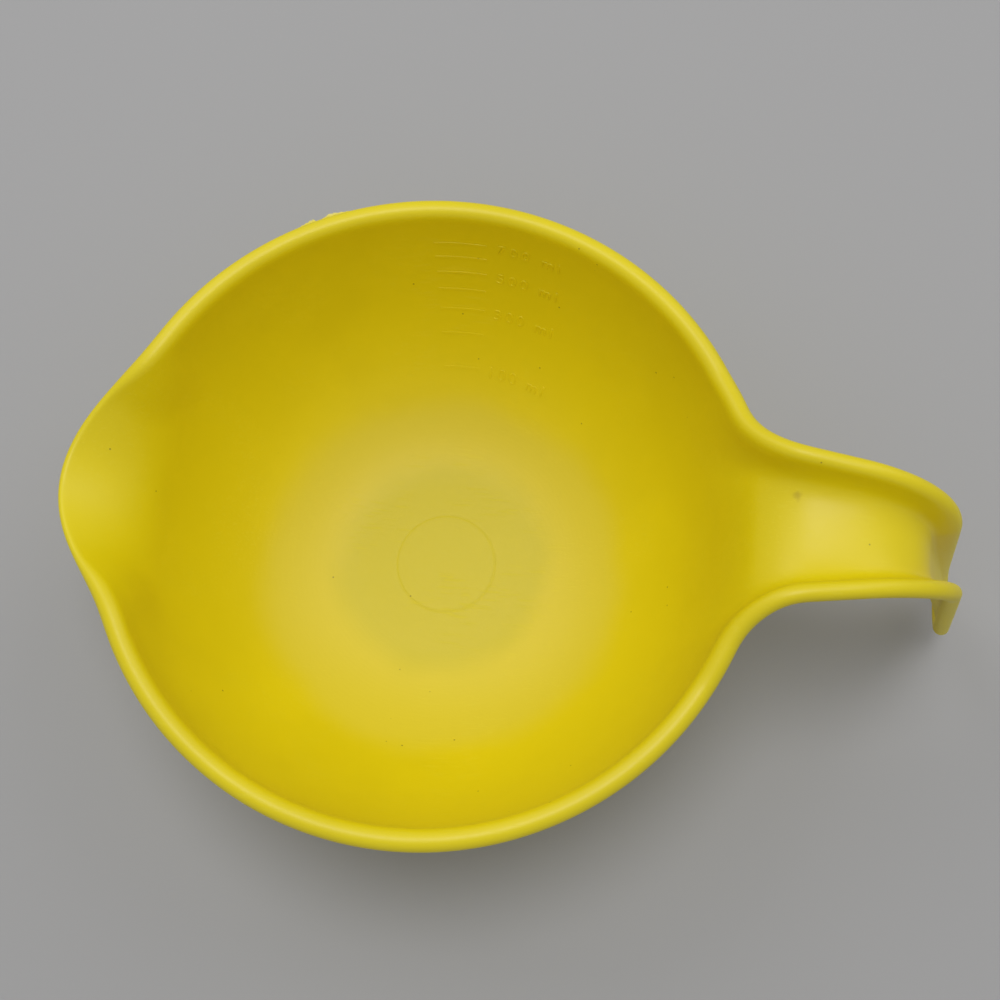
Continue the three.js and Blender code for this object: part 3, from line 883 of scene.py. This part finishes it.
flashes = []
for name, (thin_end, torn_end, peak) in FLASH_SPANS.items():
    bpy.ops.object.select_all(action="DESELECT")
    bpy.ops.mesh.primitive_cube_add(size=1, location=(0.5, 0.5, 0))
    flash = bpy.context.object
    flash.name = name
    bpy.ops.object.transform_apply(location=True, rotation=True, scale=True)
    cut_across(flash, 1, FLASH_CUTS)
    bpy.ops.object.mode_set(mode="OBJECT")
    for v in flash.data.vertices:
        share, outwards, thick = v.co
        angle = math.radians(mix(thin_end, torn_end, share))
        width = flash_share(share, peak) * (1 + RAG_DEPTH * math.sin(RAG_RATE * share))
        out = RIM_RADIUS - FLASH_SUNK + outwards * (FLASH_SUNK + FLASH_REACH * width)
        height = rim_height(angle) + outwards * FLASH_LIFT * width
        thickness = FLASH_THICKNESS * (1 - FLASH_THINNING * outwards)
        v.co = around(angle, out, height + thick * thickness)
    bpy.ops.object.mode_set(mode="EDIT")
    bpy.ops.mesh.select_all(action="SELECT")
    bpy.ops.mesh.normals_make_consistent(inside=False)
    bpy.ops.object.mode_set(mode="OBJECT")
    flashes.append(flash)
pieces = [shell] + marks + flashes
print("pieces:", len(pieces))

# %% [markdown]
# ## The plastic
#
# The bowl is coloured through, so there is no paint to chip: it is one lemon yellow with a satin skin. What
# the eye sees besides is small: slow drifts of tone, a fine grain from the mould, and faint turning rings
# round the bowl's axis. These could be painted into a picture and laid on, but a picture would need seams
# and a size of its own. Here all of it is worked out from the place on the piece, so that it has no seams
# and stays put in any view.

# %% Helpers that add a node and fill its sockets
plastic = bpy.data.materials.new("lemon_plastic")
plastic.use_nodes = True
tree = plastic.node_tree
shader = tree.nodes["Principled BSDF"]


def node(kind, sockets, **options):
    """Adds a node with its options, and fills its sockets with numbers or with other nodes' outputs."""
    made = tree.nodes.new(kind)
    for name, value in options.items():
        setattr(made, name, value)
    for name, value in sockets.items():
        if isinstance(value, bpy.types.NodeSocket):
            tree.links.new(value, made.inputs[name])
        else:
            made.inputs[name].default_value = value
    return made


def math_node(operation, *values):
    return node("ShaderNodeMath", dict(enumerate(values)), operation=operation).outputs[0]


def vector_node(operation, output, *values):
    made = node("ShaderNodeVectorMath", dict(enumerate(values)), operation=operation)
    return made.outputs[output]


def noise(at, scale, detail):
    return node("ShaderNodeTexNoise", {"Vector": at, "Scale": scale, "Detail": detail}).outputs["Fac"]


def fade(value, full, none):
    """1 where the value is at full, 0 where it is at none, eased between them."""
    limits = {"Value": value, "From Min": full, "From Max": none, "To Min": 1.0, "To Max": 0.0}
    return node("ShaderNodeMapRange", limits, interpolation_type="SMOOTHSTEP").outputs[0]


def blend(share, under, over):
    mixer = node("ShaderNodeMix", {0: share, 6: under, 7: over}, data_type="RGBA")
    return mixer.outputs[2]


place = node("ShaderNodeTexCoord", {}).outputs["Object"]
on_plan = vector_node("MULTIPLY", "Vector", place, (1, 1, 0))
from_axis = vector_node("LENGTH", "Value", on_plan)

# %% Grain, drifts of tone and turning rings
DRIFT_SCALE = 18.0
GRAIN_SCALE = 1400.0
RING_SCALE = 240.0
RINGS_END = 70 * MM
RINGS_GONE = 76 * MM

drift = noise(place, DRIFT_SCALE, detail=3.0)
grain = noise(place, GRAIN_SCALE, detail=2.0)
rings = node(
    "ShaderNodeTexWave",
    {"Vector": place, "Scale": RING_SCALE, "Distortion": 1.5, "Detail": 2.0, "Detail Scale": 0.05},
    wave_type="RINGS",
    rings_direction="Z",
).outputs["Fac"]
rings = math_node("MULTIPLY", rings, fade(from_axis, RINGS_END, RINGS_GONE))
print("nodes so far:", len(tree.nodes))

# %% [markdown]
# ## Scuffs, specks and a smudge
#
# Spoons and washing leave hair scuffs, which gather in patches. They are noise that is stretched long and
# thin in two directions, of which only the peaks are kept. The few dark specks are the middles of cells
# picked at random. Modelled scratches would be exact, but far too many. The one smudge, in the handle's
# channel, does have a place of its own: it is a spot there whose edge is made ragged by noise.

# %% Hair scuffs in two directions, in patches
SCUFF_STRETCH = (140, 1500, 1500)
SCUFF_FULL = 0.74
SCUFF_NONE = 0.69
PATCH_SCALE = 45.0
PATCH_FULL = 0.58
PATCH_NONE = 0.48


def scuffs(turn, offset):
    lie = node(
        "ShaderNodeMapping",
        {"Vector": place, "Location": offset, "Rotation": (0, 0, turn), "Scale": SCUFF_STRETCH},
    ).outputs[0]
    return fade(noise(lie, scale=1.0, detail=0.0), SCUFF_FULL, SCUFF_NONE)


patches = noise(place, PATCH_SCALE, detail=1.0)
hairs = math_node("MAXIMUM", scuffs(0.4, (0, 0, 0)), scuffs(-1.0, (3, 5, 1)))
hairs = math_node("MULTIPLY", hairs, fade(patches, PATCH_FULL, PATCH_NONE))

# %% Specks and the smudge
SPECK_CELLS = 220.0
SPECK_CORE = 0.04
SPECK_EDGE = 0.075
SPECK_CHOICE = 0.85
SMUDGE_PLACE = (87.9 * MM, 9.0 * MM, 74 * MM)
SMUDGE_CORE = 0.9 * MM
SMUDGE_EDGE = 2.4 * MM
SMUDGE_GRAIN = 600.0
SMUDGE_RAGGED = 1.6 * MM

cells = node("ShaderNodeTexVoronoi", {"Vector": place, "Scale": SPECK_CELLS})
dots = fade(cells.outputs["Distance"], SPECK_CORE, SPECK_EDGE)
chosen = node("ShaderNodeSeparateColor", {0: cells.outputs["Color"]}).outputs[0]
dots = math_node("MULTIPLY", dots, math_node("GREATER_THAN", chosen, SPECK_CHOICE))
to_smudge = vector_node("DISTANCE", "Value", place, SMUDGE_PLACE)
ragged = math_node("MULTIPLY", noise(place, SMUDGE_GRAIN, detail=1.0), SMUDGE_RAGGED)
smudge = fade(math_node("ADD", to_smudge, ragged), SMUDGE_CORE, SMUDGE_EDGE)
print("nodes so far:", len(tree.nodes))

# %% [markdown]
# ## The rubbed floor, its painted sheen and painted shade, and the thin flash
#
# Use has rubbed the floor paler and more matt, out to where the wall steepens. Its colour there also carries
# a painted sheen, a bluish white that stands for the lamp's reflection, so the patch is set a little towards
# the viewer, where that reflection falls. The flat middle of the floor is painted a duller, darker yellow as
# painted shade, where the light from overhead is blocked. Each is a round patch whose edge wanders. The
# outside of the bowl lies at the same distances from the axis, so both are held to faces that look up. The
# flash is so thin that light comes through it, and is paler: it is the only thing on that side beyond the
# rim's own radius.

# %% Where the plastic is rubbed and has painted sheen, where shade is painted, and where it is thin
# Painted shade: the flat middle of the floor is painted darker, where the light from overhead is blocked.
SHADE_RADIUS = 29.5 * MM
SHADE_FADE = 10 * MM
# The rubbed patch is real rubbing and also painted sheen: its colour carries the lamp's reflection, and its
# centre is moved towards the viewer with that reflection.
RUBBED_SHEEN_RADIUS = 50 * MM
RUBBED_SHEEN_FADE = 9 * MM
SHEEN_CENTRE = (0, -4 * MM, 0)
EDGE_WANDER = 7 * MM
FACES_UP = 0.15
THIN_START = 81.1 * MM
THIN_FULL = 81.5 * MM
FAR_START = 64 * MM
FAR_FULL = 66 * MM

facing = node("ShaderNodeNewGeometry", {}).outputs["Normal"]
inside = fade(node("ShaderNodeSeparateXYZ", {0: facing}).outputs["Z"], FACES_UP, 0.0)
wander = math_node("MULTIPLY", patches, EDGE_WANDER)
floor_shade = fade(math_node("ADD", from_axis, wander), SHADE_RADIUS, SHADE_RADIUS + SHADE_FADE)
floor_shade = math_node("MULTIPLY", floor_shade, inside)
off_centre = vector_node("DISTANCE", "Value", on_plan, SHEEN_CENTRE)
rubbed_and_sheen = fade(math_node("ADD", off_centre, wander), RUBBED_SHEEN_RADIUS, RUBBED_SHEEN_RADIUS + RUBBED_SHEEN_FADE)
rubbed_and_sheen = math_node("MULTIPLY", rubbed_and_sheen, inside)
far_side = fade(node("ShaderNodeSeparateXYZ", {0: place}).outputs["Y"], FAR_FULL, FAR_START)
thin = math_node("MULTIPLY", fade(from_axis, THIN_FULL, THIN_START), far_side)
print("nodes so far:", len(tree.nodes))

# %% [markdown]
# ## The finish put together
#
# The colours are laid over one another: plastic, the rubbed patch with its painted sheen, the painted shade
# of the floor's middle, scuffs, dirt. Grain, wear and scuffs also make the skin less glossy, and grain, rings
# and scuffs go into a bump a few hundredths of a millimetre high, too fine to model. One material serves all
# pieces, because all are the same plastic.

# %% Put the finish together
DEEP_YELLOW = (0.765, 0.622, 0.0006, 1)
LIGHT_YELLOW = (0.805, 0.658, 0.0008, 1)
SCUFF_YELLOW = (0.83, 0.74, 0.06, 1)
# Paler and bluish white: painted sheen on top of the rubbed plastic's own colour.
RUBBED_SHEEN_YELLOW = (0.765, 0.635, 0.027, 1)
# Duller and darker: painted shade for the floor's flat middle.
SHADE_YELLOW = (0.665, 0.57, 0.006, 1)
THIN_YELLOW = (0.72, 0.65, 0.12, 1)
SPECK_BROWN = (0.16, 0.11, 0.01, 1)
SMUDGE_BROWN = (0.40, 0.28, 0.01, 1)
DRIFT_LIGHT = 0.62
DRIFT_DEEP = 0.38
SCUFF_TINT = 0.1
SMUDGE_TINT = 0.5
SPECK_TINT = 0.6
ROUGHNESS = 0.38
GRAIN_ROUGHNESS = 0.10
RUBBED_ROUGHNESS = 0.07
SCUFF_ROUGHNESS = 0.08
RING_RELIEF = 0.25
SCUFF_RELIEF = -0.5
BUMP_STRENGTH = 0.5
BUMP_HEIGHT = 0.03 * MM

colour = blend(fade(drift, DRIFT_LIGHT, DRIFT_DEEP), DEEP_YELLOW, LIGHT_YELLOW)
# Painted sheen over the rubbed patch, then painted shade over the floor's flat middle.
colour = blend(rubbed_and_sheen, colour, RUBBED_SHEEN_YELLOW)
colour = blend(floor_shade, colour, SHADE_YELLOW)
colour = blend(math_node("MULTIPLY", hairs, SCUFF_TINT), colour, SCUFF_YELLOW)
colour = blend(thin, colour, THIN_YELLOW)
colour = blend(math_node("MULTIPLY", smudge, SMUDGE_TINT), colour, SMUDGE_BROWN)
colour = blend(math_node("MULTIPLY", dots, SPECK_TINT), colour, SPECK_BROWN)
gloss = math_node("MULTIPLY_ADD", grain, GRAIN_ROUGHNESS, ROUGHNESS)
gloss = math_node("MULTIPLY_ADD", rubbed_and_sheen, RUBBED_ROUGHNESS, gloss)
gloss = math_node("MULTIPLY_ADD", hairs, SCUFF_ROUGHNESS, gloss)
relief = math_node("MULTIPLY_ADD", rings, RING_RELIEF, grain)
relief = math_node("MULTIPLY_ADD", hairs, SCUFF_RELIEF, relief)
bump_sockets = {"Height": relief, "Strength": BUMP_STRENGTH, "Distance": BUMP_HEIGHT}
bump = node("ShaderNodeBump", bump_sockets).outputs[0]
tree.links.new(colour, shader.inputs["Base Color"])
tree.links.new(gloss, shader.inputs["Roughness"])
tree.links.new(bump, shader.inputs["Normal"])
for piece in pieces:
    piece.data.materials.append(plastic)
print("nodes in the plastic:", len(tree.nodes))

# %% [markdown]
# ## Stage and light
#
# The bowl stands on a plain pale table. Soft light comes from all round, from a lamp overhead and from two
# on the far side, so the shadow falls a little towards the viewer. One sun would be simpler, but its shadow
# would have a hard edge. Wide disc lamps keep it soft.

# %% Table
TABLE_SIZE = 40
TABLE_GREY = (0.395, 0.393, 0.397, 1)
TABLE_ROUGHNESS = 0.7

bpy.ops.object.select_all(action="DESELECT")
bpy.ops.mesh.primitive_plane_add(size=TABLE_SIZE, location=(0, 0, 0))
table = bpy.context.object
table.name = "table"
table_paint = bpy.data.materials.new("table_paint")
table_paint.use_nodes = True
table_shader = table_paint.node_tree.nodes["Principled BSDF"]
table_shader.inputs["Base Color"].default_value = TABLE_GREY
table_shader.inputs["Roughness"].default_value = TABLE_ROUGHNESS
table.data.materials.append(table_paint)
print("table:", TABLE_SIZE, "m wide")

# %% World and lamps
WHITE = (1, 1, 1, 1)
ROOM_LIGHT = 0.41
LAMP_AIM = (0, 0, 0)
# For each lamp its place and its width in metres, and its power in watts.
LAMPS = {
    "overhead": ((0, 0.1, 1.1), 0.5, 3.9),
    "far_left": ((-0.6, 0.6, 0.9), 0.7, 2.0),
    "far_right": ((0.6, 0.6, 0.9), 0.7, 1.6),
}

world = bpy.data.worlds.new("room")
bpy.context.scene.world = world
world.use_nodes = True
world.node_tree.nodes["Background"].inputs["Color"].default_value = WHITE
world.node_tree.nodes["Background"].inputs["Strength"].default_value = ROOM_LIGHT
for name, (lamp_place, width, power) in LAMPS.items():
    bpy.ops.object.light_add(type="AREA", location=lamp_place)
    lamp = bpy.context.object
    lamp.name = name
    lamp.data.shape = "DISK"
    lamp.data.size = width
    lamp.data.energy = power
    lamp.rotation_euler = (Vector(LAMP_AIM) - Vector(lamp_place)).to_track_quat("-Z", "Y").to_euler()
    print("lamp:", name, power, "W")

# %% [markdown]
# ## Camera
#
# The camera looks down into the bowl from a little in front of it, and is turned so that spout and handle lie
# almost level. It could be aimed at the bowl's middle, but its place and turn were fitted to the bowl's
# outline, so they are given as they came out: where it stands, and which ways are right and up for it.

# %% Camera
CAMERA_PLACE = Vector((33.39, -73.15, 348.3)) * MM
CAMERA_RIGHT = Vector((0.9945, 0.1013, -0.0283))
CAMERA_UP = Vector((-0.0902, 0.9598, 0.2657))
HALF_WIDTH = 500
FOCAL_LENGTH = 1200
NEAREST = 10 * MM

bpy.ops.object.camera_add()
camera = bpy.context.object
right = CAMERA_RIGHT.normalized()
back = right.cross(CAMERA_UP).normalized()
turn = Matrix((right, back.cross(right), back)).transposed()
camera.matrix_world = Matrix.Translation(CAMERA_PLACE) @ turn.to_4x4()
camera.data.sensor_fit = "HORIZONTAL"
camera.data.angle = 2 * math.atan(HALF_WIDTH / FOCAL_LENGTH)
camera.data.clip_start = NEAREST
bpy.context.scene.camera = camera
bpy.context.scene.view_settings.view_transform = "Standard"
print("camera's angle:", round(math.degrees(camera.data.angle), 1), "degrees")

# %% [markdown]
# ## Tie the skin to the solids
#
# Nothing on the bowl moves, so every piece rides on the same body and has the plastic's slot. The solids
# divide the moulding into regions. The skin has no such seams, so it stands for all of them at once.

# %% Tie the skin to the solids
for piece in pieces:
    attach(piece, "root")
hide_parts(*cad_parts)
print("the skin stands for", len(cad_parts), "solids")
